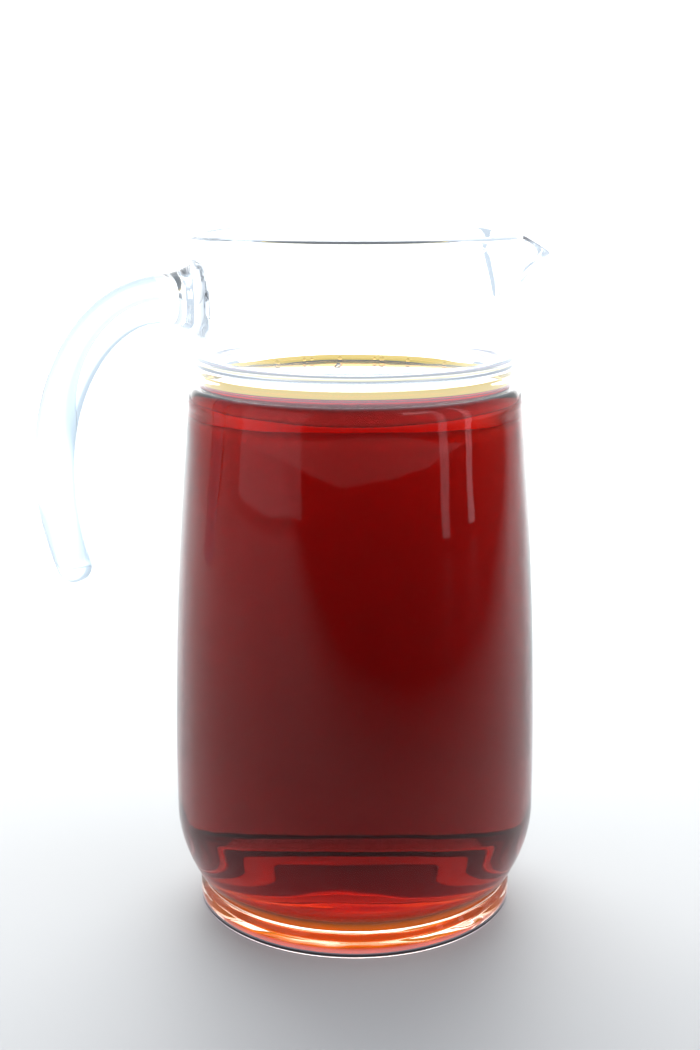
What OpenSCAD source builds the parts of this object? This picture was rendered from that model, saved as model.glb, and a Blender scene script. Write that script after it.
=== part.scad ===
// Footed glass jug with a neck groove, a straight collar, a pouring lip and an open
// hook handle, filled with dark tea up to the neck.
// The jug's axis is Z, it stands on Z = 0, the lip points to +X and the handle to -X.

/* [Foot and base] */
// Radius of the foot's side wall
foot_r = 49.7; // [46:0.1:60]
// Height of the foot's side wall
foot_h = 5.4; // [4:0.1:7]
// Radius of the foot's rounded edge
foot_edge_r = 1.2; // [0.4:0.1:2]
// How far the waist above the foot lies inside the foot's side wall
waist_in = 0.8; // [0.2:0.1:3]
// Height of the waist
waist_z = 8.6; // [7.6:0.1:11]
// Width of the flat ring that the jug stands on
stand_ring_w = 5; // [2:0.5:10]
// Depth of the hollow under the base
punt_h = 0.4; // [0.2:0.1:3]
// Height of the inside floor
floor_z = 6; // [4:0.1:12]
// Height of the inside curve from the floor up to the wall
inner_corner_h = 22; // [14:0.5:26]

/* [Body] */
// Largest outside radius of the body
belly_r = 56.6; // [53:0.1:75]
// Height at which the body has widened from the waist to the belly
corner_z = 31.5; // [27:0.5:38]
// Height at which the belly starts to narrow
belly_z = 40; // [38:1:80]
// Outside radius of the shoulder's edge
shoulder_r = 50.7; // [46:0.1:62]
// Height of the shoulder's edge
shoulder_z = 158.5; // [130:0.5:200]
// Thickness of the body's wall
wall = 3.4; // [2:0.1:5]

/* [Neck and collar] */
// Height of the shoulder's rounding above its edge
shoulder_h = 6.5; // [4:0.5:12]
// How far the neck groove lies inside the shoulder's edge
neck_in = 3.5; // [2:0.1:6]
// Height of the neck groove
groove_h = 4.4; // [2:0.1:8]
// Thickness of the glass between the neck groove and the throat
throat_wall = 7.2; // [4.5:0.1:14]
// How far the collar's lower edge stands out from the neck groove
collar_step = 0.9; // [0.4:0.1:2]
// How much the collar's radius grows from its lower edge to the rim
collar_flare = 1.5; // [0:0.1:4]
// Height of the collar from its lower edge to the rim
collar_h = 40.6; // [33:0.2:60]
// Thickness of the collar's wall
collar_wall = 3.5; // [2:0.1:4.2]
// Height of the inside ledge over the throat above the collar's lower edge
ledge_h = 3; // [2.4:0.1:8]
// Radius of the inside corner between the ledge and the collar's wall
ledge_corner_r = 2.2; // [1:0.1:3]
// Radius of the rounded edge between the ledge and the throat
throat_edge_r = 2.4; // [1:0.1:3]

/* [Lip] */
// How far the lip's tip stands out from the rim
lip_out = 12.4; // [8:0.2:20]
// How far the lip's tip lies below the rim
lip_drop = 7; // [4:0.5:9]
// Height of the lip's channel below the rim
lip_h = 21.5; // [17:0.5:28]
// Half of the angle between the two sides of the channel
lip_half_angle = 34; // [27:0.5:41]
// Thickness of the lip's wall
lip_wall = 3; // [2:0.1:4]

/* [Handle] */
// Height of the handle's upper arm below the rim
arm_drop = 18.5; // [15:0.5:23]
// Length of the arm from the rim's radius to the bend
arm_l = 8.4; // [6:0.2:20]
// Gap for the fingers between the belly and the grip
finger_gap = 28.2; // [20:0.2:40]
// Height from the upper arm down to the straightest point of the grip
bend_h = 50; // [36:1:70]
// Height from there down to the tip's centre
tail_h = 28; // [14:1:40]
// Radius of the tail's curve back towards the body
tail_r = 88; // [60:1:200]
// Thickness of the handle's upper arm
arm_t = 13.8; // [10:0.2:17]
// Width of the handle's upper arm
arm_w = 17; // [12:0.5:21]
// Thickness of the handle at the grip
grip_t = 11.6; // [9:0.2:14]
// Width of the handle at the grip
grip_w = 15; // [11:0.5:20]
// Thickness of the handle at the tip
tip_t = 10.4; // [8:0.2:13]
// Width of the handle at the tip
tip_w = 12; // [8:0.5:16]
// Height added where the handle joins the collar
root_flare_h = 13; // [2:0.5:16]
// Width added where the handle joins the collar
root_flare_w = 12; // [2:0.5:14.5]
// Length over which that joint fades into the handle
root_flare_l = 4; // [2:0.5:6]

/* [Tea] */
// Height of the tea below the top of the neck groove
tea_drop = 2.6; // [1:0.1:6]
// Height that the tea climbs at the glass
meniscus_h = 1.9; // [0.2:0.1:2.2]
// Width of the climbing edge
meniscus_w = 3; // [1:0.1:5]

/* [Hidden] */

round_steps = 10; // points on each rounded stretch of an outline
body_steps = 16; // points on each long stretch of the body
round_fn = 128; // smoothness of what is turned round the axis
sweep_rings = 36; // cross-sections along the handle
cap_rings = 5; // cross-sections over the handle's rounded tip
sweep_sides = 28; // corners of each cross-section
squareness = 2.5; // exponent of the handle's rounded cross-section
cap_angle = 85; // how far round its quarter circle the tip's last cross-section lies
arm_share = 0.16; // share of the cross-sections that the handle's straight arm takes
bend_share = 0.56; // share of them that its bend takes
root_embed = 0.5; // how far the handle's end lies outside the collar's inside wall
lip_embed = 0.4; // how far the lip's skin starts outside the collar's inside wall
lip_step = 0.3; // how far the lip's top stays below the rim's
waist_step = 0.5; // how far above and outside the waist the body's curve starts
punt_power = 14; // how flat the hollow under the base is, and how steep at its edge
floor_power = 3; // squareness of the inside curve at the floor, 2 for part of an ellipse
least_wall = 0.7; // share of the wall's thickness that this curve leaves at least
groove_corner_w = 0.8; // width of the neck groove's rounded lower corner
groove_corner_h = 0.6; // height of that corner
throat_drop = 0.4; // how far the throat's narrowest part reaches below the neck groove

waist_r = foot_r - waist_in;
neck_z = shoulder_z + shoulder_h;
neck_r = shoulder_r - neck_in;
throat_r = neck_r - throat_wall;
collar_bottom_r = neck_r + collar_step;
collar_top_r = collar_bottom_r + collar_flare;
collar_z = neck_z + groove_h;
rim_z = collar_z + collar_h;
shelf_z = collar_z + ledge_h;
ledge_z = shelf_z + ledge_corner_r;
throat_low_z = neck_z - throat_drop;
inner_shoulder_z = shoulder_z - shoulder_h;
tea_z = collar_z - tea_drop;
inner_rim_r = collar_top_r - collar_wall;

// ---- outlines, each a list of [radius, height] points ----

// Smooth step from 0 to 1
function ease(t) = (1 - cos(180 * t)) / 2;

// Point on a circle in an outline
function on_circle(centre, r, angle) = centre + r * [cos(angle), sin(angle)];

// Outside radius of the body above the waist, a curve out to the belly and a longer one
// in to the shoulder's edge
rounding_r = waist_r + waist_step;
rounding_z = waist_z + waist_step;
function body_r(z) =
    z < rounding_z ? rounding_r :
    z < corner_z ? belly_r - (belly_r - rounding_r) * ((corner_z - z) / (corner_z - rounding_z)) ^ 2 :
    z < belly_z ? belly_r :
    belly_r - (belly_r - shoulder_r) * ((z - belly_z) / (shoulder_z - belly_z)) ^ 2;

// Outside radius of the collar's wall
function collar_r(z) =
    collar_bottom_r + (collar_top_r - collar_bottom_r) * (z - collar_z) / collar_h;

// The hollow under the base, from the axis out to the standing ring
hollow_r = foot_r - foot_edge_r - stand_ring_w;
punt = [for (i = [0:round_steps])
    let (t = sqrt(i / round_steps))
    [hollow_r * t, punt_h * (1 - t ^ punt_power)]];

// The foot's rounded edge, and the groove in from its top to the waist
foot_edge = [for (i = [0:round_steps])
    on_circle([foot_r - foot_edge_r, foot_edge_r], foot_edge_r, -90 + 90 * i / round_steps)];
foot_top = [for (i = [0:round_steps])
    let (t = i / round_steps)
    [foot_r - (foot_r - waist_r) * ease(t), foot_h + (waist_z - foot_h) * t]];

// The body from the waist out to the belly, and in to the shoulder's edge
rounding = [for (i = [0:body_steps])
    let (z = rounding_z + (corner_z - rounding_z) * i / body_steps)
    [body_r(z), z]];
belly = [for (i = [0:body_steps])
    let (z = belly_z + (shoulder_z - belly_z) * i / body_steps)
    [body_r(z), z]];

// The shoulder, a quarter of an ellipse in to the neck groove, and the groove's slope up
// and out to the collar's lower edge
shoulder_end_r = neck_r + groove_corner_w;
shoulder = [for (i = [1:round_steps])
    let (a = 90 * i / round_steps)
    [shoulder_end_r + (shoulder_r - shoulder_end_r) * cos(a), shoulder_z + shoulder_h * sin(a)]];
groove = [for (i = [1:round_steps])
    let (a = 90 * i / round_steps)
    [shoulder_end_r - groove_corner_w * sin(a), neck_z + groove_corner_h * (1 - cos(a))]];
collar_edge = [for (i = [1:round_steps])
    let (t = i / round_steps)
    [neck_r + (collar_bottom_r - neck_r) * ease(t),
     neck_z + groove_corner_h + (groove_h - groove_corner_h) * t]];

// The rim, half a circle as thick as the collar's wall
rim_round_r = collar_wall / 2;
rim_centre = [collar_top_r - rim_round_r, rim_z - rim_round_r];
rim = [for (i = [0:2 * round_steps])
    on_circle(rim_centre, rim_round_r, 90 * i / round_steps)];

// The inside: down the collar to a ledge, in over its edge to the throat, and out again
// to the body's wall
ledge_r = collar_r(ledge_z) - collar_wall;
ledge_corner = [for (i = [0:round_steps])
    let (a = 90 * i / round_steps)
    [ledge_r - ledge_corner_r * (1 - cos(a)), ledge_z - ledge_corner_r * sin(a)]];
throat_edge = [for (i = [0:round_steps])
    let (a = 90 * i / round_steps)
    [throat_r + throat_edge_r * (1 - sin(a)), shelf_z - throat_edge_r * (1 - cos(a))]];
under_neck_r = body_r(inner_shoulder_z) - wall;
under_neck = [for (i = [0:round_steps])
    let (t = i / round_steps)
    [throat_r + (under_neck_r - throat_r) * ease(t),
     throat_low_z + (inner_shoulder_z - throat_low_z) * t]];

// The inside of the body, the wall's thickness inside it, and its curve in to the floor
bowl_z = floor_z + inner_corner_h;
bowl_r = body_r(bowl_z) - wall;
inner_side = [for (i = [1:body_steps])
    let (z = inner_shoulder_z + (bowl_z - inner_shoulder_z) * i / body_steps)
    [body_r(z) - wall, z]];
inner_corner = [for (i = [1:body_steps])
    let (a = 90 * i / body_steps, z = bowl_z - inner_corner_h * sin(a) ^ (2 / floor_power))
    [min(bowl_r * cos(a) ^ (2 / floor_power), body_r(z) - least_wall * wall), z]];

outside = concat(punt, foot_edge, foot_top, rounding, belly, shoulder,
    groove, collar_edge, rim);
inside = concat(ledge_corner, throat_edge, under_neck, inner_side, inner_corner);

// The tea's surface, level in the middle and climbing at the glass
tea_edge_r = throat_r - meniscus_w;
tea_top = concat([[0, tea_z]], [for (i = [0:round_steps])
    let (t = i / round_steps)
    [tea_edge_r + meniscus_w * t, tea_z + meniscus_h * t ^ 3]],
    [[belly_r, tea_z + meniscus_h]]);

// ---- the lip: two tilted cones, one inside the other, under a sloping cut ----

lip_tip_z = rim_z - lip_drop;
lip_foot_z = rim_z - lip_h;
lip_foot_x = collar_r(lip_foot_z) - collar_wall;
lip_reach = collar_top_r + lip_out;
lip_over = lip_reach - lip_foot_x;
lip_up = lip_tip_z - lip_foot_z;
// Angle of the channel's lowest line from upright, with the wall's thickness outside it
lip_lean = acos(lip_wall / norm([lip_over, lip_up])) - atan2(lip_up, lip_over);
lip_tilt = lip_lean - lip_half_angle;
lip_slope = atan2(lip_drop, lip_reach - inner_rim_r);
lip_cone_l = 2 * lip_h + lip_wall / sin(lip_half_angle);

module lip_cone(skin) {
    translate([lip_foot_x, 0, lip_foot_z])
        rotate([0, lip_tilt, 0])
            translate([0, 0, -skin / sin(lip_half_angle)])
                cylinder(h = lip_cone_l, r1 = 0, r2 = lip_cone_l * tan(lip_half_angle),
                    $fn = round_fn);
}

// Everything below the sloping cut, which starts at the rim's inside edge
module below_lip_top() {
    translate([inner_rim_r, 0, rim_z])
        rotate([0, lip_slope, 0])
            translate([-belly_r, -belly_r, -3 * lip_h])
                cube([2 * lip_reach, 2 * belly_r, 3 * lip_h]);
}

// Everything beside the collar on the lip's side, just below the rim's height
module beside_collar() {
    difference() {
        translate([0, -belly_r, 0])
            cube([2 * lip_reach, 2 * belly_r, rim_z - lip_step]);
        cylinder(h = 3 * rim_z, r = inner_rim_r + lip_embed, center = true, $fn = round_fn);
    }
}

// ---- the handle: rounded cross-sections along a hook ----

arm_z = rim_z - arm_drop;
grip_z = arm_z - bend_h;
root_x = inner_rim_r + root_embed;
bend_start = collar_top_r + arm_l;
grip_reach = belly_r + finger_gap + grip_t / 2;
bend_end = arm_share + bend_share;
tail_angle = asin(tail_h / tail_r);

// Centre line of the hook as [distance from the axis, height], for u from 0 to 1
function hook(u) =
    u < arm_share ? [root_x + (bend_start - root_x) * u / arm_share, arm_z] :
    u < bend_end ?
        let (a = 90 * (u - arm_share) / bend_share)
        [bend_start + (grip_reach - bend_start) * sin(a), grip_z + bend_h * cos(a)] :
        let (a = tail_angle * (u - bend_end) / (1 - bend_end))
        [grip_reach - tail_r * (1 - cos(a)), grip_z - tail_r * sin(a)];

// Direction of the hook at u, from two points close to it
way_step = 0.002;
function hook_way(u) =
    let (d = hook(min(1, u + way_step)) - hook(max(0, u - way_step)))
    d / norm(d);

// A size that goes from the arm's to the grip's and the tip's, and flares at the root
function along(u, arm, grip, tip, flare) =
    arm + (grip - arm) * ease(min(1, u / bend_end))
    + (tip - grip) * ease(max(0, (u - bend_end) / (1 - bend_end)))
    + flare * exp(-(hook(u)[0] - root_x) / root_flare_l);

// Squares a circle's coordinate up a little
function rounded(v) = sign(v) * abs(v) ^ (2 / squareness);

// One corner of a cross-section, at an angle round it, scaled and moved ahead at the tip
function corner(u, angle, size, ahead) =
    let (way = hook_way(u),
         thick = size * along(u, arm_t, grip_t, tip_t, root_flare_h) / 2,
         wide = size * along(u, arm_w, grip_w, tip_w, root_flare_w) / 2,
         q = hook(u) + ahead * way + thick * rounded(cos(angle)) * [-way[1], way[0]])
    [-q[0], wide * rounded(sin(angle)), q[1]];

rings = concat(
    [for (i = [0:sweep_rings - 1]) [i / (sweep_rings - 1), 1, 0]],
    [for (i = [1:cap_rings])
        let (a = cap_angle * i / cap_rings)
        [1, cos(a), tip_t / 2 * sin(a)]]);
last_ring = len(rings) - 1;
handle_points = [for (ring = rings, k = [0:sweep_sides - 1])
    corner(ring[0], 360 * k / sweep_sides, ring[1], ring[2])];
handle_faces = concat(
    [[for (k = [0:sweep_sides - 1]) k]],
    [for (i = [0:last_ring - 1], k = [0:sweep_sides - 1])
        let (a = i * sweep_sides + k, b = i * sweep_sides + (k + 1) % sweep_sides)
        [a, a + sweep_sides, b + sweep_sides, b]],
    [[for (k = [sweep_sides - 1:-1:0]) last_ring * sweep_sides + k]]);

module handle() {
    polyhedron(points = handle_points, faces = handle_faces, convexity = 4);
}

// ---- the two pieces ----

module jug() {
    color("lightcyan", 0.4)
    difference() {
        union() {
            rotate_extrude($fn = round_fn)
                polygon(concat(outside, inside));
            intersection() {
                lip_cone(lip_wall);
                below_lip_top();
                beside_collar();
            }
            handle();
        }
        lip_cone(0);
    }
}

module tea() {
    color("darkred")
    rotate_extrude($fn = round_fn)
        intersection() {
            polygon(concat([[0, ledge_z]], inside));
            polygon(concat(tea_top, [[belly_r, 0], [0, 0]]));
        }
}

jug();
tea();
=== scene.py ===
"""A glass jug of dark tea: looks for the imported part, in metres, around its CAD frame."""

import math

import bpy
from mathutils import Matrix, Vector


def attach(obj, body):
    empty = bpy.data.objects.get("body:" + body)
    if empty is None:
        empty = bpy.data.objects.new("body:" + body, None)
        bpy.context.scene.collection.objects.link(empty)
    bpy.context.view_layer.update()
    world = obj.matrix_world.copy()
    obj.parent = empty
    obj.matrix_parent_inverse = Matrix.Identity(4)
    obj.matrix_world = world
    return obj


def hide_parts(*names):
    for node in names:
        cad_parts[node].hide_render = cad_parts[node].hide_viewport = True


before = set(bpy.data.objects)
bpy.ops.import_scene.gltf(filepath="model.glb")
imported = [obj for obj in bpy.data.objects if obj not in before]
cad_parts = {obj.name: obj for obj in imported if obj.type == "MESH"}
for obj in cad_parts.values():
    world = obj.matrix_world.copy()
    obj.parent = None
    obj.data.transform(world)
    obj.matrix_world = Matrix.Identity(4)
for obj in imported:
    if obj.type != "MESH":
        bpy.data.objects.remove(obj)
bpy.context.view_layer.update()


# ---- The jug's wall ----
# One wall of clear pressed glass from the foot to the rim: a hollow under the base, a
# groove above the foot, a rounded shoulder, a neck groove and a straight collar.
# It is pressed in a mould, and its rim is melted round by a flame.

# Sizes are in mm. A height ends in _z and is taken from the table.
foot_r, foot_h, foot_edge_r = 49.7, 5.4, 1.2
stand_ring_w, punt_h, punt_power = 5.0, 0.4, 14
waist_r, waist_z, waist_step = 48.9, 8.6, 0.5
belly_r, corner_z, belly_z = 56.6, 31.5, 40.0
shoulder_r, shoulder_z, shoulder_h = 50.7, 158.5, 6.5
neck_r, neck_z, groove_w, groove_h = 47.2, 165.0, 0.8, 0.6
collar_bottom_r, collar_top_r = 48.1, 49.6
collar_z, rim_z, collar_wall = 169.4, 210.0, 3.5
ledge_z, shelf_z, shelf_fillet, shelf_edge = 175.2, 172.4, 2.2, 2.4
throat_r, throat_z, throat_low_z = 40.0, 167.2, 164.6
inner_shoulder_z = shoulder_z - shoulder_h
floor_z, bowl_z, bowl_power = 6.0, 28.0, 3.0
body_wall = 3.4

# Rows of faces up the collar and the throat, and steps round the jug. The sector that the
# lip is pulled from has finer steps.
row_h, outside_rows, inside_rows = 1.35, 28, 24
first_outside_row, first_inside_row = 1.2, 2.6
throat_row_h, throat_rows = 0.4, 6
lip_sector, lip_steps, turn_steps = 64.0, 68, 208

# In metres: a new shape's first size, and how near two points are merged into one.
seed_size, weld_distance = 0.001, 0.000004


def ease(t):
    """A smooth step from 0 to 1."""
    return (1 - math.cos(math.pi * t)) / 2


def spread(low, high, steps, first=0):
    """Evenly spaced values from low to high; a first of 1 leaves low itself out."""
    return [low + (high - low) * i / steps for i in range(first, steps + 1)]


def arc(centre_r, centre_z, radius_r, radius_z, start, end, steps):
    """Points of an outline on a quarter or half of an ellipse, angles in degrees."""
    angles = [math.radians(angle) for angle in spread(start, end, steps)]
    return [(centre_r + radius_r * math.cos(a), centre_z + radius_z * math.sin(a)) for a in angles]


def body_r(z):
    """The body's outside radius above the waist."""
    low_r, low_z = waist_r + waist_step, waist_z + waist_step
    if z < low_z:
        return low_r
    if z < corner_z:
        return belly_r - (belly_r - low_r) * ((corner_z - z) / (corner_z - low_z)) ** 2
    if z < belly_z:
        return belly_r
    return belly_r - (belly_r - shoulder_r) * ((z - belly_z) / (shoulder_z - belly_z)) ** 2


def collar_r(z):
    """The collar's outside radius."""
    return collar_bottom_r + (collar_top_r - collar_bottom_r) * (z - collar_z) / (rim_z - collar_z)


def outside_outline():
    """The wall's outside as (radius, height) in mm, from the axis under the base to the rim."""
    ring_r = foot_r - foot_edge_r - stand_ring_w
    points = [(ring_r * t, punt_h * (1 - t ** punt_power))
              for t in [share ** 0.5 for share in spread(0, 1, 16)]]
    points += arc(foot_r - foot_edge_r, foot_edge_r, foot_edge_r, foot_edge_r, -90, 0, 8)
    points += [(foot_r - (foot_r - waist_r) * ease(t), foot_h + (waist_z - foot_h) * t)
               for t in spread(0, 1, 10)]
    points += [(body_r(z), z) for z in spread(waist_z + waist_step, corner_z, 22)]
    points += [(body_r(z), z) for z in spread(belly_z, shoulder_z, 26)]
    points += arc(neck_r + groove_w, shoulder_z,
                  shoulder_r - neck_r - groove_w, shoulder_h, 6, 90, 12)
    slope_z = neck_z + groove_h
    points += arc(neck_r + groove_w, slope_z, groove_w, groove_h, -105, -180, 5)
    points += [(neck_r + (collar_bottom_r - neck_r) * ease(t), slope_z + (collar_z - slope_z) * t)
               for t in spread(0, 1, 10, 1)]
    points += [(collar_r(z), z)
               for z in [collar_z + first_outside_row + row_h * i for i in range(outside_rows)]]
    half = collar_wall / 2
    points += arc(collar_top_r - half, rim_z - half, half, half, 0, 180, 14)
    return points


def inside_outline():
    """The wall's inside in mm, from the rim down the collar and the body to the floor's middle."""
    points = [(collar_r(z) - collar_wall, z)
              for z in [rim_z - first_inside_row - row_h * i for i in range(inside_rows)]]
    shelf_r = collar_r(ledge_z) - collar_wall
    points += arc(shelf_r - shelf_fillet, shelf_z + shelf_fillet,
                  shelf_fillet, shelf_fillet, 0, -88, 8)
    points += arc(throat_r + shelf_edge, shelf_z - shelf_edge, shelf_edge, shelf_edge, 92, 180, 10)
    points += [(throat_r, z) for z in [throat_z - throat_row_h * i for i in range(throat_rows)]]
    under_r = body_r(inner_shoulder_z) - body_wall
    points += [(throat_r + (under_r - throat_r) * ease(t),
                throat_low_z + (inner_shoulder_z - throat_low_z) * t)
               for t in spread(0, 1, 14, 1)]
    points += [(body_r(z) - body_wall, z) for z in spread(inner_shoulder_z, bowl_z, 24, 1)]
    bowl_r = body_r(bowl_z) - body_wall
    points += [(bowl_r * math.cos(a) ** (2 / bowl_power),
                bowl_z - (bowl_z - floor_z) * math.sin(a) ** (2 / bowl_power))
               for a in [math.radians(angle) for angle in spread(0, 90, 40, 1)]]
    return points


def only(obj):
    """Makes obj the one selected and active object."""
    if bpy.context.object and bpy.context.object.mode != "OBJECT":
        bpy.ops.object.mode_set(mode="OBJECT")
    bpy.ops.object.select_all(action="DESELECT")
    bpy.context.view_layer.objects.active = obj
    obj.select_set(True)


def turned(name, outline, first_angle, spans):
    """Draws an outline in mm as a chain of points and spins it round the axis, span by span."""
    bpy.ops.object.select_all(action="DESELECT")
    bpy.ops.mesh.primitive_plane_add(size=seed_size, location=(0, 0, 0))
    piece = bpy.context.object
    piece.name = name
    way = Vector((math.cos(math.radians(first_angle)), math.sin(math.radians(first_angle)), 0))
    spots = [way * (r / 1000) + Vector((0, 0, z / 1000)) for r, z in outline]
    bpy.ops.object.mode_set(mode="EDIT")
    bpy.ops.mesh.merge(type="CENTER")
    bpy.ops.transform.translate(value=spots[0])
    for here, there in zip(spots, spots[1:]):
        bpy.ops.mesh.extrude_region_move(TRANSFORM_OT_translate={"value": there - here})
    bpy.ops.mesh.select_all(action="SELECT")
    for degrees, steps in spans:
        bpy.ops.mesh.spin(steps=steps, angle=math.radians(degrees),
                          center=(0, 0, 0), axis=(0, 0, 1))
    bpy.ops.mesh.select_all(action="SELECT")
    bpy.ops.mesh.remove_doubles(threshold=weld_distance)
    bpy.ops.mesh.normals_make_consistent(inside=False)
    bpy.ops.object.mode_set(mode="OBJECT")
    return piece


jug = turned("glass_jug", outside_outline() + inside_outline(), -lip_sector / 2,
             [(lip_sector, lip_steps), (360 - lip_sector, turn_steps)])


# ---- The pouring lip ----
# The collar's front is pulled out and down while the glass is soft, so that the wall forms
# a channel that narrows to a point down its inside.

lip_out, lip_drop, lip_h, lip_half_w = 12.4, 7.0, 22.0, 15.0
lip_foot_z = rim_z - lip_h
sideways_share = 0.35
soft_side, soft_below, soft_from_x = 3, 2, 30
soft_factor, soft_rounds = 0.5, 3

only(jug)
for v in jug.data.vertices:
    r, angle, z = math.hypot(v.co.x, v.co.y) * 1000, math.atan2(v.co.y, v.co.x), v.co.z * 1000
    if z > lip_foot_z and abs(angle) < math.radians(lip_sector / 2):
        up = (z - lip_foot_z) / lip_h
        across = abs(angle) * collar_top_r / (lip_half_w * up)
        if across < 1:
            pull = up * (1 - across ** 2)
            v.co.x += lip_out * pull * math.cos(angle) / 1000
            v.co.y += lip_out * pull * math.sin(angle) / 1000 * sideways_share
            v.co.z -= lip_drop * pull * up / 1000

bpy.ops.object.mode_set(mode="EDIT")
bpy.ops.mesh.select_all(action="DESELECT")
bpy.ops.object.mode_set(mode="OBJECT")
for v in jug.data.vertices:
    near = abs(v.co.y) < (lip_half_w + soft_side) / 1000 and v.co.x > soft_from_x / 1000
    v.select = near and v.co.z > (lip_foot_z - soft_below) / 1000
bpy.ops.object.mode_set(mode="EDIT")
bpy.ops.mesh.select_mode(type="VERT")
bpy.ops.mesh.vertices_smooth(factor=soft_factor, repeat=soft_rounds)
bpy.ops.object.mode_set(mode="OBJECT")


# ---- The handle ----
# A solid hook of glass, pressed with the jug and joined to its collar by a flared root.
# It is open at its lower end, which is rounded.

arm_z, grip_z, root_x = 191.5, 141.5, 46.6
bend_start, grip_reach = 58.0, 90.6
bend_h, tail_h, tail_r = 50.0, 28.0, 88.0
arm_share, bend_share = 0.16, 0.56
arm_t, grip_t, tip_t = 13.8, 11.6, 10.4
arm_w, grip_w, tip_w = 17.0, 15.0, 12.0
root_flare_h, root_flare_w, root_flare_l = 13.0, 12.0, 4.0
hook_rings, cap_rings, cap_angle, hook_step = 84, 9, 86, 0.002

# The hook's section is a square of small faces, rounded most of the way to a circle, which
# leaves it at 0.86 of its size.
section_cuts, section_round, rounded_size = 7, 0.72, 0.86


def hook(u):
    """The hook's centre line as (distance from the axis, height), for u from 0 to 1."""
    bend_end = arm_share + bend_share
    if u < arm_share:
        return Vector((root_x + (bend_start - root_x) * u / arm_share, arm_z))
    if u < bend_end:
        a = math.radians(90) * (u - arm_share) / bend_share
        return Vector((bend_start + (grip_reach - bend_start) * math.sin(a),
                       grip_z + bend_h * math.cos(a)))
    a = math.asin(tail_h / tail_r) * (u - bend_end) / (1 - bend_end)
    return Vector((grip_reach - tail_r * (1 - math.cos(a)), grip_z - tail_r * math.sin(a)))


def hook_turn(u):
    """The hook's downward angle at u."""
    ahead = hook(min(1, u + hook_step)) - hook(max(0, u - hook_step))
    return math.atan2(-ahead.y, ahead.x)


def along(u, arm, grip, tip, flare):
    """A size that goes from the arm's to the grip's and the tip's, and flares at the root."""
    bend_end = arm_share + bend_share
    return (arm + (grip - arm) * ease(min(1, u / bend_end))
            + (tip - grip) * ease(max(0, (u - bend_end) / (1 - bend_end)))
            + flare * math.exp(-(hook(u).x - root_x) / root_flare_l))


bpy.ops.object.select_all(action="DESELECT")
bpy.ops.mesh.primitive_plane_add(size=seed_size, location=(0, 0, 0))
handle = bpy.context.object
handle.name = "handle"
bpy.ops.object.mode_set(mode="EDIT")
bpy.ops.mesh.subdivide(number_cuts=section_cuts)
bpy.ops.transform.tosphere(value=section_round)
bpy.ops.transform.resize(value=(1 / rounded_size, 1 / rounded_size, 1))
bpy.ops.transform.rotate(value=math.radians(90), orient_axis="Y", center_override=(0, 0, 0))
rings = [(i / (hook_rings - 1), 1.0, 0.0) for i in range(hook_rings)]
rings += [(1.0, math.cos(a), tip_t / 2 * math.sin(a))
          for a in [math.radians(cap_angle) * i / cap_rings for i in range(1, cap_rings + 1)]]
place, turn, thick, wide = Vector((0, 0, 0)), 0.0, seed_size, seed_size
for number, (u, shrink, ahead) in enumerate(rings):
    new_turn = hook_turn(u)
    spot = hook(u) + ahead * Vector((math.cos(new_turn), -math.sin(new_turn)))
    spot = Vector((-spot.x, 0, spot.y)) / 1000
    if number:
        bpy.ops.mesh.extrude_region_move(TRANSFORM_OT_translate={"value": spot - place})
    else:
        bpy.ops.transform.translate(value=spot - place)
    bpy.ops.transform.rotate(value=new_turn - turn, orient_axis="Y", center_override=spot)
    new_thick = shrink * along(u, arm_t, grip_t, tip_t, root_flare_h) / 1000
    new_wide = shrink * along(u, arm_w, grip_w, tip_w, root_flare_w) / 1000
    bpy.ops.transform.resize(value=(new_thick / thick, new_wide / wide, new_thick / thick),
                             center_override=spot)
    place, turn, thick, wide = spot, new_turn, new_thick, new_wide
bpy.ops.mesh.select_all(action="SELECT")
bpy.ops.mesh.normals_make_consistent(inside=False)
bpy.ops.object.mode_set(mode="OBJECT")

only(jug)
join = jug.modifiers.new("handle joined", "BOOLEAN")
join.operation = "UNION"
join.solver = "EXACT"
join.object = handle
bpy.ops.object.modifier_apply(modifier=join.name)
bpy.data.objects.remove(handle)
only(jug)
bpy.ops.object.shade_smooth()


# ---- The jug's glass ----
# Clear soda-lime glass all over. It is one glass, but it looks different where tea wets it and in
# the thick handle, and it has a painted sheen above the tea and a painted glow at its foot, so each
# of these has its own copy.


def linear(hex_colour):
    """An sRGB hex colour as a linear RGBA colour."""
    parts = [int(hex_colour[i:i + 2], 16) / 255 for i in (1, 3, 5)]
    return [p / 12.92 if p <= 0.04045 else ((p + 0.055) / 1.055) ** 2.4 for p in parts] + [1]


def grey(strength):
    """A plain strength as a linear RGBA colour."""
    return [strength, strength, strength, 1]


def add_node(material, kind, settings, **links):
    """Adds a node with its settings; each link names an input and the output that feeds it."""
    node = material.node_tree.nodes.new(kind)
    for name, value in settings.items():
        if name in node.inputs:
            node.inputs[name].default_value = value
        else:
            setattr(node, name, value)
    for name, source in links.items():
        material.node_tree.links.new(source, node.inputs[name.replace("_", " ")])
    return node


def fill_ramp(node, stops):
    """Gives a colour ramp its stops, each a position from 0 to 1 and a linear colour."""
    elements = node.color_ramp.elements
    while len(elements) < len(stops):
        elements.new(0.5)
    for element, (position, _) in zip(elements, stops):
        element.position = position
    for element, (_, colour) in zip(elements, stops):
        element.color = colour


def new_material(name):
    """An empty material and its output node."""
    material = bpy.data.materials.new(name)
    material.use_nodes = True
    material.node_tree.nodes.clear()
    return material, add_node(material, "ShaderNodeOutputMaterial", {})


def node_of(material, kind):
    """A material's one node of a kind."""
    return next(node for node in material.node_tree.nodes if node.bl_idname == kind)


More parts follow.
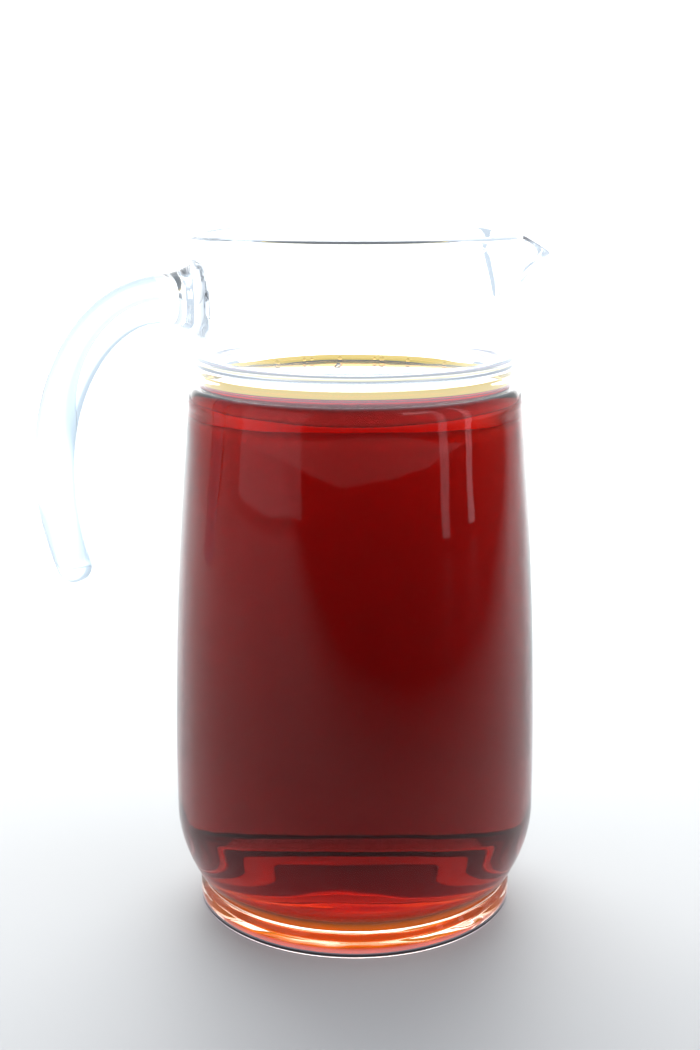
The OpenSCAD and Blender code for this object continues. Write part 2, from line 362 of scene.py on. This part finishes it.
def variant(material, name):
    """A copy of a material under its own name, and the copy's Principled node."""
    copy = material.copy()
    copy.name = name
    return copy, node_of(copy, "ShaderNodeBsdfPrincipled")


def glow_by_height(material, socket, low, high, stops):
    """Feeds a socket of a material's Principled node from a ramp between two heights in m."""
    place_on = node_of(material, "ShaderNodeTexCoord")
    place = add_node(material, "ShaderNodeSeparateXYZ", {}, Vector=place_on.outputs["Object"])
    height = add_node(material, "ShaderNodeMapRange", {"From Min": low, "From Max": high},
                      Value=place.outputs["Z"])
    levels = add_node(material, "ShaderNodeValToRGB", {}, Fac=height.outputs["Result"])
    fill_ramp(levels, stops)
    shader = node_of(material, "ShaderNodeBsdfPrincipled")
    material.node_tree.links.new(levels.outputs["Color"], shader.inputs[socket])


# Pressed and fire-polished: colourless, with the faint waves that a mould leaves, about 18 mm
# apart and drawn out along its height.
glass_waves, glass_stretch = 55, 0.35
glass_ior, wetted_ior = 1.5, 1.125
glass, glass_out = new_material("pressed clear glass")
glass_place = add_node(glass, "ShaderNodeTexCoord", {})
stretch = add_node(glass, "ShaderNodeMapping", {"Scale": (1, 1, glass_stretch)},
                   Vector=glass_place.outputs["Object"])
waves = add_node(glass, "ShaderNodeTexNoise", {"Scale": glass_waves, "Detail": 1.0},
                 Vector=stretch.outputs["Vector"])
swell = add_node(glass, "ShaderNodeBump", {"Strength": 0.10, "Distance": 0.004},
                 Height=waves.outputs["Fac"])
tint = add_node(glass, "ShaderNodeValToRGB", {}, Fac=waves.outputs["Fac"])
fill_ramp(tint, [(0.0, linear("#FAFCFD")), (1.0, linear("#FFFFFF"))])
glass_shader = add_node(glass, "ShaderNodeBsdfPrincipled", {
    "Roughness": 0.0, "IOR": glass_ior, "Transmission Weight": 1.0, "Specular Tint": grey(0.5)},
    Base_Color=tint.outputs["Color"], Normal=swell.outputs["Normal"])
glass.node_tree.links.new(glass_shader.outputs["BSDF"], glass_out.inputs["Surface"])

# The same glass where tea wets it: the step from glass at 1.5 to tea at 1.333 is only 1.125,
# so the wall hardly mirrors there.
wet_glass, wet_shader = variant(glass, "pressed clear glass wetted by tea")
wet_shader.inputs["IOR"].default_value = wetted_ior

# The same glass above the tea, with a painted faint blue-grey sheen along its edges, which stands
# in for light that is caught inside the glass and comes out again.
painted_sheen_glass, sheen_shader = variant(glass, "pressed clear glass with a painted sheen")
sheen_shader.inputs["Emission Color"].default_value = linear("#D9E7F5")
glow_by_height(painted_sheen_glass, "Emission Strength", 0.158, 0.178, [
    (0.0, grey(0.0)), (0.31, grey(0.0)), (0.42, grey(0.34)), (0.78, grey(0.34)),
    (0.95, grey(0.075))])

# The same glass at the foot, whose lower edge has a painted glow: a pale, faintly violet line over
# a dark one.
foot_glass_painted_glow, foot_glow_shader = variant(glass, "pressed clear glass with a painted glow at the foot")
foot_glow_shader.inputs["Emission Color"].default_value = linear("#DDD6E6")
glow_by_height(foot_glass_painted_glow, "Emission Strength", 0.0, 0.006, [
    (0.0, grey(0.40)), (0.10, grey(0.40)), (0.16, grey(0.03)), (0.24, grey(0.03)),
    (0.30, grey(0.24)), (0.46, grey(0.22)), (0.62, grey(0.0))])

# The same glass in the handle, thick enough to show its own pale blue.
handle_glass = variant(glass, "pressed clear glass, thick in the handle")[0]
fill_ramp(node_of(handle_glass, "ShaderNodeValToRGB"),
          [(0.0, linear("#CDDFEE")), (1.0, linear("#D8E7F3"))])

# Tea wets the inside up to wet_z. The margins in mm, and the least upward share of a floor
# face's normal, tell the inside from the outside.
wet_z = 168.7
floor_margin, wall_margin, foot_margin, floor_upward = 0.1, 2, 3, 0.5

jug.data.materials.clear()
for material in (glass, wet_glass, painted_sheen_glass, foot_glass_painted_glow, handle_glass):
    jug.data.materials.append(material)
in_wet, in_painted_sheen, in_foot_glow, in_handle = 1, 2, 3, 4
for face in jug.data.polygons:
    r, z = math.hypot(face.center.x, face.center.y) * 1000, face.center.z * 1000
    towards_axis = face.normal.x * face.center.x + face.normal.y * face.center.y < 0
    on_wall = (z > floor_z + floor_margin and towards_axis
               and r < body_r(min(z, shoulder_z)) - wall_margin)
    on_floor = (floor_z - floor_margin < z < bowl_z and face.normal.z > floor_upward
                and r < foot_r - foot_margin)
    if z < wet_z and (on_wall or on_floor):
        face.material_index = in_wet
    elif face.center.x < -bend_start / 1000:
        face.material_index = in_handle
    # Above the shoulder the glass has the painted sheen.
    elif z > shoulder_z + shoulder_h / 2:
        face.material_index = in_painted_sheen
    # The foot's lower edge has the painted glow.
    elif z < foot_h and r > foot_r - foot_edge_r:
        face.material_index = in_foot_glow
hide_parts("jug")
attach(jug, "root")


# ---- The tea ----
# Strong black tea, filled to the throat. It climbs a little where it meets the glass, and it
# reaches a tenth of a millimetre into the wall, so that no air shows between the two.

tea_z, meniscus_h, meniscus_w = 166.8, 1.9, 3.0
tea_reach, edge_reach, edge_gap = 0.1, 0.6, 0.4


def tea_outline():
    """The tea in mm, from the middle of its surface to the wall and down to the floor."""
    edge_r = throat_r - meniscus_w
    points = [(r, tea_z) for r in spread(0, edge_r, 12)]
    points += [(edge_r + meniscus_w * t, tea_z + meniscus_h * t ** 3)
               for t in spread(0, 1, 14, 1)]
    points.append((throat_r + edge_reach, tea_z + meniscus_h))
    below = [(r, z) for r, z in inside_outline() if z < tea_z + meniscus_h - edge_gap]
    for r, z in below:
        share = min(1, max(0, (bowl_z - z) / (bowl_z - floor_z)))
        points.append((max(0, r + tea_reach * math.cos(share * math.pi / 2)) if r else 0,
                       z - tea_reach * math.sin(share * math.pi / 2)))
    return points


def clear_liquid(name, ior, waver, colours):
    """A clear liquid with a slightly wavering tint, as (material, output node)."""
    liquid, out = new_material(name)
    place_on = add_node(liquid, "ShaderNodeTexCoord", {})
    noise = add_node(liquid, "ShaderNodeTexNoise", waver, Vector=place_on.outputs["Object"])
    cast = add_node(liquid, "ShaderNodeValToRGB", {}, Fac=noise.outputs["Fac"])
    fill_ramp(cast, [(0.0, linear(colours[0])), (1.0, linear(colours[1]))])
    shader = add_node(liquid, "ShaderNodeBsdfPrincipled", {
        "Roughness": 0.0, "IOR": ior, "Transmission Weight": 1.0}, Base_Color=cast.outputs["Color"])
    liquid.node_tree.links.new(shader.outputs["BSDF"], out.inputs["Surface"])
    return liquid, out


tea = turned("tea_liquid", tea_outline(), -lip_sector / 2,
             [(lip_sector, lip_steps // 2), (360 - lip_sector, turn_steps)])
only(tea)
bpy.ops.object.shade_smooth()

# Brewed tea: water that takes out blue and green light, and little of the red. Only its depth
# makes it dark, so it is orange where it is thin. Its tint wavers over about 50 mm.
brew, brew_out = clear_liquid("brewed black tea", 1.333, {"Scale": 20, "Detail": 1.0},
                              ("#FDF8F6", "#FFFDFC"))
depth = add_node(brew, "ShaderNodeVolumeAbsorption", {
    "Color": (0.906, 0.66, 0.30, 1), "Density": 250.0})
brew.node_tree.links.new(depth.outputs["Volume"], brew_out.inputs["Volume"])

# The same tea against the glass: the wetted glass already bends the light, so it passes here.
# Its lowest layer has a painted glow for the light that the foot lets in: dark red above, orange at
# the floor.
held_brew_painted_glow, held_glow_shader = variant(brew, "brewed black tea against the glass, with a painted glow")
held_glow_shader.inputs["IOR"].default_value = 1.0
held_glow_shader.inputs["Emission Strength"].default_value = 1.0
glow_by_height(held_brew_painted_glow, "Emission Color", 0.005, 0.035, [
    (0.03, linear("#6A3C02")), (0.14, linear("#623202")), (0.26, linear("#400C04")),
    (0.5, linear("#480A0D")), (0.78, linear("#30070A")), (1.0, linear("#000000"))])

# The climbing edge is only a skin of tea, painted with a yellow glow for light coming through it.
skin_w = 1.2
skin_brew_painted_glow, skin_glow_shader = variant(brew, "brewed black tea, thin at its edge, with a painted glow")
skin_glow_shader.inputs["Emission Color"].default_value = linear("#F2D44C")
skin_glow_shader.inputs["Emission Strength"].default_value = 0.7

# The surface is told from the tea against the glass by its height and by facing up.
surface_margin, surface_upward = 0.5, 0.3

tea.data.materials.clear()
for material in (brew, held_brew_painted_glow, skin_brew_painted_glow):
    tea.data.materials.append(material)
in_held_glow, in_skin_glow = 1, 2
for face in tea.data.polygons:
    # Tea against the glass has the painted glow near its floor.
    if face.center.z * 1000 < tea_z - surface_margin or face.normal.z < surface_upward:
        face.material_index = in_held_glow
    # The climbing edge has the painted yellow glow.
    elif math.hypot(face.center.x, face.center.y) * 1000 > throat_r - skin_w:
        face.material_index = in_skin_glow
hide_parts("tea")
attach(tea, "root")


# ---- Bubbles and drops ----
# A few bubbles gather where the tea meets the glass, and drops cling inside the collar. Each
# bubble is a dome of film, and each drop a flattened bead.

# Each bead is a small ball, cut flat below its middle. The cut is in metres for a half
# height of 1 mm.
bead_segments, bead_rings, bead_cut = 14, 9, 0.0004

# Bubbles as (angle in degrees, radius, size). Those near the wall sit up on the climbing edge.
edge_from_r, edge_lift, middle_lift = 35, 0.9, 0.1
bubble_spots = [(118, 38.3, 0.9), (101, 38.6, 0.7), (97, 38.4, 0.5), (84, 38.4, 0.8),
                (66, 38.5, 0.6), (62, 38.3, 0.9), (49, 38.6, 0.7), (139, 38.5, 0.7),
                (152, 38.4, 0.9), (28, 38.5, 0.8), (88, 27.0, 0.9), (91, 24.6, 0.6)]

# Drops as (angle in degrees, radius, height, and three half sizes).
drop_spots = [(151, 45.2, 177.6, 0.5, 0.8, 1.4), (149, 45.2, 175.6, 0.5, 0.7, 0.9),
              (24, 45.2, 175.2, 0.5, 0.9, 1.0), (16, 45.3, 178.9, 0.4, 0.6, 0.8),
              (156, 45.3, 180.4, 0.4, 0.6, 0.8)]


def beads(name, spots):
    """Joins beads, each given as an angle, a radius, a height and three half sizes in mm."""
    made = []
    for angle, r, z, deep, across, high in spots:
        bpy.ops.object.select_all(action="DESELECT")
        a = math.radians(angle)
        bpy.ops.mesh.primitive_uv_sphere_add(segments=bead_segments, ring_count=bead_rings,
                                             radius=seed_size, location=(0, 0, 0))
        bpy.ops.object.mode_set(mode="EDIT")
        bpy.ops.transform.resize(value=(deep, across, high))
        bpy.ops.mesh.bisect(plane_co=(0, 0, -bead_cut * high), plane_no=(0, 0, 1),
                            clear_inner=True, use_fill=True)
        bpy.ops.mesh.select_all(action="SELECT")
        bpy.ops.transform.rotate(value=-a, orient_axis="Z", center_override=(0, 0, 0))
        bpy.ops.transform.translate(
            value=(r * math.cos(a) / 1000, r * math.sin(a) / 1000, z / 1000))
        bpy.ops.object.mode_set(mode="OBJECT")
        made.append(bpy.context.object)
    only(made[0])
    for bead in made:
        bead.select_set(True)
    bpy.ops.object.join()
    bpy.ops.object.shade_smooth()
    piece = bpy.context.object
    piece.name = name
    return piece


# Bubble film: a skin of tea round air, which bends light less than solid tea. It is clear,
# with a yellow cast in patches about 2 mm wide.
bubbles = beads("tea_bubbles", [
    (angle, r, tea_z + (edge_lift if r > edge_from_r else middle_lift), size, size, size)
    for angle, r, size in bubble_spots])
film = clear_liquid("tea bubble film", 1.25, {"Scale": 600}, ("#FFF3D2", "#FFFFFF"))[0]
bubbles.data.materials.append(film)
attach(bubbles, "root")

# Condensed water: clear and nearly colourless, in patches about 2 mm wide.
drops = beads("wall_drops", drop_spots)
water = clear_liquid("condensed water", 1.33, {"Scale": 500}, ("#F4F8FB", "#FFFFFF"))[0]
drops.data.materials.append(water)
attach(drops, "root")


# ---- The studio ----
# A pale, softly glossy table, a bright wall behind it and a dimmer room in front. The wall and
# the room are the light that comes from all round, and soft boxes stand for the windows.

table_size = 9.0
# The board's painted shade darkens it along this way, between these two distances in m.
painted_shade_way, painted_shade_from, painted_shade_to = Vector((0.45, -1.0, 0.0)), 0.17, 0.42
bpy.ops.object.select_all(action="DESELECT")
bpy.ops.mesh.primitive_plane_add(size=table_size, location=(0, 0, 0))
table = bpy.context.object
table.name = "table_top"

# White lacquered board: a sprayed coat with a soft gloss and a faint cloudiness about 110 mm
# across. A painted shade darkens it towards the dim room at the front right.
lacquer, lacquer_out = new_material("white lacquered board")
board_place = add_node(lacquer, "ShaderNodeTexCoord", {})
cloud = add_node(lacquer, "ShaderNodeTexNoise", {"Scale": 9, "Detail": 3},
                 Vector=board_place.outputs["Object"])
shade = add_node(lacquer, "ShaderNodeValToRGB", {}, Fac=cloud.outputs["Fac"])
fill_ramp(shade, [(0.0, linear("#B2B5B6")), (1.0, linear("#B7B8B8"))])
front_right = add_node(lacquer, "ShaderNodeVectorMath", {"operation": "DOT_PRODUCT"})
lacquer.node_tree.links.new(board_place.outputs["Object"], front_right.inputs[0])
front_right.inputs[1].default_value = painted_shade_way
nearer = add_node(lacquer, "ShaderNodeMapRange", {"From Min": painted_shade_from, "From Max": painted_shade_to},
                  Value=front_right.outputs["Value"])

# The painted shade mixes the board's colour towards a dark grey.
# The Mix node's sockets for colours are inputs 6 and 7 and output 2.
painted_shade = add_node(lacquer, "ShaderNodeMix", {"data_type": "RGBA"})
lacquer.node_tree.links.new(nearer.outputs["Result"], painted_shade.inputs[0])
lacquer.node_tree.links.new(shade.outputs["Color"], painted_shade.inputs[6])
painted_shade.inputs[7].default_value = linear("#2E2C2E")
board = add_node(lacquer, "ShaderNodeBsdfPrincipled", {"Roughness": 0.55, "IOR": 1.4},
                 Base_Color=painted_shade.outputs[2])
lacquer.node_tree.links.new(board.outputs["BSDF"], lacquer_out.inputs["Surface"])
table.data.materials.append(lacquer)

# The room's light, as (degrees from the bright wall's middle, level, warmth). A warmth under 1
# takes out red and half as much green.
wall_way = Vector((0.242, 0.970, 0.0))
wall_level = 3.4
room_stops = [(180, 0.52, 1.0), (150, 0.62, 1.0), (120, 0.72, 0.90), (90, 0.84, 0.86),
              (60, 0.92, 0.88), (34, 1.15, 0.98), (20, wall_level, 1.0), (0, wall_level, 1.0)]
sky = bpy.data.worlds.new("studio")
bpy.context.scene.world = sky
sky.use_nodes = True
sky.node_tree.nodes.clear()
sky_way = add_node(sky, "ShaderNodeTexCoord", {})
facing = add_node(sky, "ShaderNodeVectorMath", {"operation": "DOT_PRODUCT"})
sky.node_tree.links.new(sky_way.outputs["Generated"], facing.inputs[0])
facing.inputs[1].default_value = wall_way
facing_share = add_node(sky, "ShaderNodeMapRange", {"From Min": -1.0, "From Max": 1.0},
                        Value=facing.outputs["Value"])
room = add_node(sky, "ShaderNodeValToRGB", {}, Fac=facing_share.outputs["Result"])
fill_ramp(room, [((math.cos(math.radians(degrees)) + 1) / 2,
                  (level / wall_level * warmth, level / wall_level * (1 + warmth) / 2,
                   level / wall_level, 1))
                 for degrees, level, warmth in room_stops])
glow = add_node(sky, "ShaderNodeBackground", {"Strength": wall_level},
                Color=room.outputs["Color"])
add_node(sky, "ShaderNodeOutputWorld", {}, Surface=glow.outputs["Background"])


def soft_box(name, place, aim, size, watts, colour, mirrored=True):
    """A rectangular softbox at a place in metres, turned to its aim."""
    bpy.ops.object.select_all(action="DESELECT")
    bpy.ops.object.light_add(type="AREA", location=place)
    lamp = bpy.context.object
    lamp.name = name
    lamp.data.shape = "RECTANGLE"
    lamp.data.size, lamp.data.size_y = size
    lamp.data.energy = watts
    lamp.data.color = linear(colour)[:3]
    lamp.rotation_euler = (Vector(aim) - Vector(place)).to_track_quat("-Z", "Y").to_euler()
    lamp.visible_camera = lamp.visible_transmission = False
    lamp.visible_glossy = mirrored


# The first three only light the table. The other four stand for windows, and the glass
# mirrors them.
soft_box("back_box", (0.2, 0.82, 0.5), (0.2, 0.8, 0), (1.2, 0.5), 19, "#FFFFFF", mirrored=False)
soft_box("far_box", (0.6, 3.0, 1.5), (0.6, 2.9, 0), (4.5, 3.0), 150, "#FFFFFF", mirrored=False)
soft_box("right_fill", (0.9, -0.5, 1.3), (0.1, -0.2, 0), (1.2, 1.2), 3.0, "#FFFFFF", mirrored=False)
soft_box("left_window", (-1.0, -0.35, 0.45), (0, 0, 0.1), (1.0, 0.9), 2.4, "#FFF0F8")
soft_box("right_pane", (0.62, -0.62, 0.45), (0, 0, 0.2), (0.10, 0.9), 0.5, "#FFF0F8")
soft_box("far_right_pane", (0.84, -0.40, 0.45), (0, 0, 0.2), (0.08, 0.9), 0.5, "#FFF0F8")
soft_box("high_window", (0.60, -1.04, 1.05), (0, 0, 0.15), (0.50, 0.34), 2.0, "#FFEFF0")

camera_place, camera_tilt, camera_turn = (-0.1166, -0.4676, 0.2346), 76.7, -13.82
sensor_mm, lens_mm = 36.0, 54.9
bpy.ops.object.camera_add(location=camera_place,
                          rotation=(math.radians(camera_tilt), 0, math.radians(camera_turn)))
camera = bpy.context.object
camera.data.sensor_width = sensor_mm
camera.data.lens = lens_mm
bpy.context.scene.camera = camera
bpy.context.scene.view_settings.view_transform = "Standard"

# Light crosses many faces of glass and tea before it comes out.
cycles = bpy.context.scene.cycles
cycles.max_bounces = 28
cycles.transmission_bounces = 28
cycles.glossy_bounces = 10
cycles.use_denoising = True
